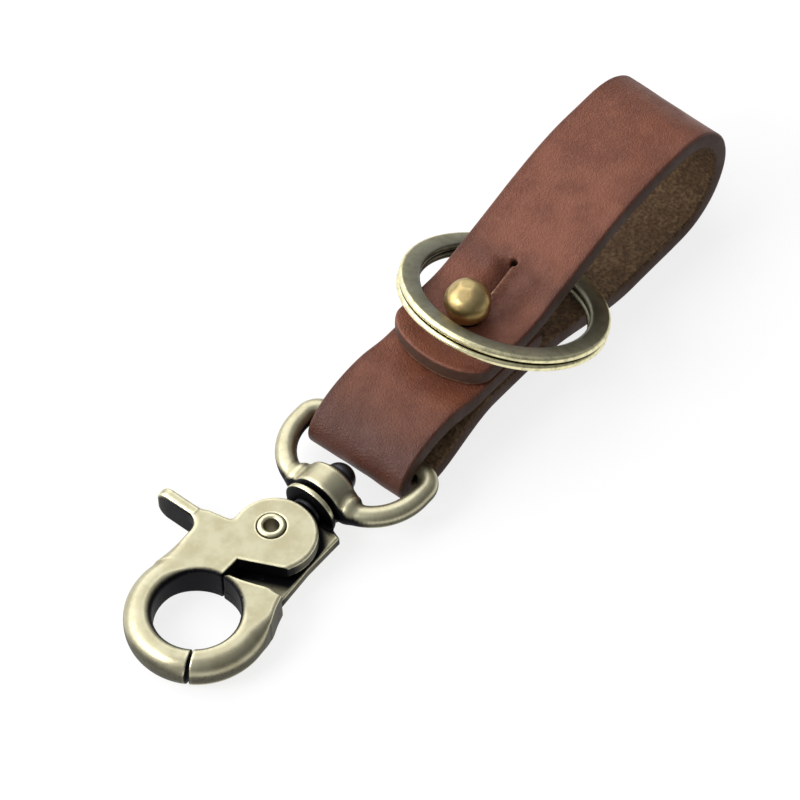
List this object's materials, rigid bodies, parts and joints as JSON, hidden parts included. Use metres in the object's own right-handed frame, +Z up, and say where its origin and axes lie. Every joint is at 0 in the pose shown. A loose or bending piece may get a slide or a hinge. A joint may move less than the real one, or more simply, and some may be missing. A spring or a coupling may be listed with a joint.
{
  "type": "leather keychain",
  "caption": "Leather key strap folded round the eye of a swivel trigger snap, buttoned on a ball stud into a belt loop, and carrying a split ring.",
  "frame": {"origin": "below the middle of the keychain's bounding box, on the surface it lies on", "axes": "+X along the strap from the snap to the far loop, +Z up from the surface it lies on, +Y across the strap to the side of the snap's thumb tab"},
  "size_m": [0.136, 0.0402, 0.0248],
  "materials": {
    "leather": "matt reddish brown grain with fine scratches, darker cut edges and a pale rough flesh side",
    "brass": "antique plated brass, brushed, dark in the recesses",
    "ball_brass": "worn golden brass",
    "dark_steel": "blackened steel",
    "spring_steel": "bright spring wire"
  },
  "bodies": {
    "strap_body": {"strap": "leather", "stud_ball": "ball_brass", "stud_screw": "brass"},
    "tongue": {"strap_tongue": "leather"},
    "ring": {"split_ring": "brass"},
    "eye": {"swivel_eye": "brass"},
    "hook": {"snap_frame": "brass", "swivel_rivet": "dark_steel", "pivot_eyelet": "brass", "trigger_spring": "spring_steel"},
    "trigger": {"trigger_lever": "brass"}
  },
  "joints": [
    {"name": "tongue_open", "type": "hinge", "parent": "strap_body", "child": "tongue", "pos_m": [0.05056, -0.00036, 0.0248], "axis": [0, 1, 0], "range_deg": [0, 35]},
    {"name": "ring_swing", "type": "hinge", "parent": "tongue", "child": "ring", "pos_m": [0.03467, -0.00209, 0.00551], "axis": [0, 1, 0], "range_deg": [0, 65]},
    {"name": "eye_swing", "type": "hinge", "parent": "strap_body", "child": "eye", "pos_m": [-0.01224, -0.00036, 0.006], "axis": [0, 1, 0], "range_deg": [-60, 75]},
    {"name": "hook_swivel", "type": "hinge", "parent": "eye", "child": "hook", "pos_m": [-0.02462, -0.00036, 0.00536], "axis": [-0.9987, 0, -0.0517], "continuous": true},
    {"name": "trigger_pivot", "type": "hinge", "parent": "hook", "child": "trigger", "pos_m": [-0.0366, 0.00089, 0.00474], "axis": [0.0517, 0, -0.9987], "range_deg": [0, 25], "stiffness_Nm_per_rad": 0.02, "springref_deg": -28.65}
  ]
}
